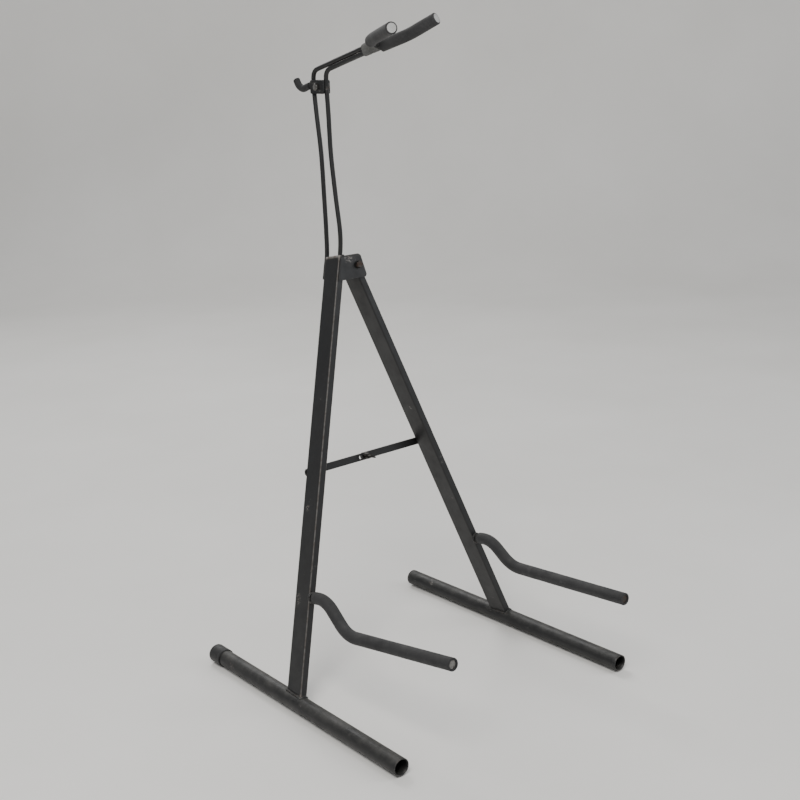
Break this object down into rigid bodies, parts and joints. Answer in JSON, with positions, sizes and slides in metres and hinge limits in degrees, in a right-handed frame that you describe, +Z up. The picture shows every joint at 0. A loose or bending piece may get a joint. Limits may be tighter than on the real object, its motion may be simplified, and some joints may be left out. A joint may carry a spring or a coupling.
{
  "type": "guitar rack",
  "caption": "Folding A-frame guitar stand of painted steel tube with sleeved lower arms, a bent-rod neck, a sleeved neck yoke and a hinged brace.",
  "frame": {"origin": "middle of the footprint, on the floor", "axes": "+Z up, -Y towards the front where the guitar stands, -X the leg that carries the neck rest, +X the folding leg"},
  "size_m": [0.4032, 0.452, 0.8485],
  "materials": {
    "black_paint": "worn satin black paint on steel",
    "sleeve_rubber": "matt dark grey rubber sleeve",
    "foot_rubber": "matt black rubber",
    "grey_binding": "grey wrapped binding",
    "bare_steel": "dull zinc-plated steel",
    "rusty_steel": "steel with light rust"
  },
  "bodies": {
    "near_side": {"near_foot_bar": "black_paint", "near_foot_cap": "foot_rubber", "near_leg": "black_paint", "near_arm_rod": "black_paint", "near_arm_sleeve": "sleeve_rubber", "hinge_bracket": "black_paint", "hinge_bolt": "rusty_steel", "hinge_nut": "bare_steel", "neck_lower_rod_rear": "black_paint", "neck_lower_rod_front": "black_paint", "neck_upper_rod_rear": "black_paint", "neck_upper_rod_front": "black_paint", "yoke_binding": "grey_binding", "yoke_sleeve_near": "sleeve_rubber", "yoke_sleeve_far": "sleeve_rubber", "clamp_plate_outer": "black_paint", "clamp_plate_inner": "black_paint", "clamp_bolt": "bare_steel", "clamp_nut": "bare_steel", "rear_hook_rod": "black_paint", "rear_hook_sleeve": "sleeve_rubber", "brace_rivet_near": "bare_steel"},
    "far_side": {"far_foot_bar": "black_paint", "far_foot_plug": "foot_rubber", "far_leg": "black_paint", "far_arm_rod": "black_paint", "far_arm_sleeve": "sleeve_rubber"},
    "brace_near": {"brace_bar_near": "black_paint"},
    "brace_far": {"brace_bar_far": "black_paint", "brace_bolt": "bare_steel", "brace_rivet_far": "bare_steel"},
    "wing_nut": {"brace_wing_nut": "bare_steel"}
  },
  "joints": [
    {"name": "leg_fold", "type": "hinge", "parent": "near_side", "child": "far_side", "pos_m": [0.01664, 0.13804, 0.5325], "axis": [0, 0.9795, -0.2016], "range_deg": [0, 30]},
    {"name": "brace_near_swing", "type": "hinge", "parent": "near_side", "child": "brace_near", "pos_m": [-0.09258, 0.10081, 0.28094], "axis": [0, 0.9795, -0.2016], "range_deg": [0, 81.39]},
    {"name": "brace_middle_swing", "type": "hinge", "parent": "brace_near", "child": "brace_far", "pos_m": [0.00364, 0.10154, 0.28079], "axis": [0, 0.9795, -0.2016], "range_deg": [-146.87, 0]},
    {"name": "wing_nut_turn", "type": "hinge", "parent": "brace_far", "child": "wing_nut", "pos_m": [0.00364, 0.09469, 0.2822], "axis": [0, 0.9795, -0.2016], "continuous": true}
  ],
  "couplings": [
    {"joint": "brace_near_swing", "follows": "leg_fold", "ratio": 2.713},
    {"joint": "brace_middle_swing", "follows": "leg_fold", "ratio": -4.8957}
  ]
}
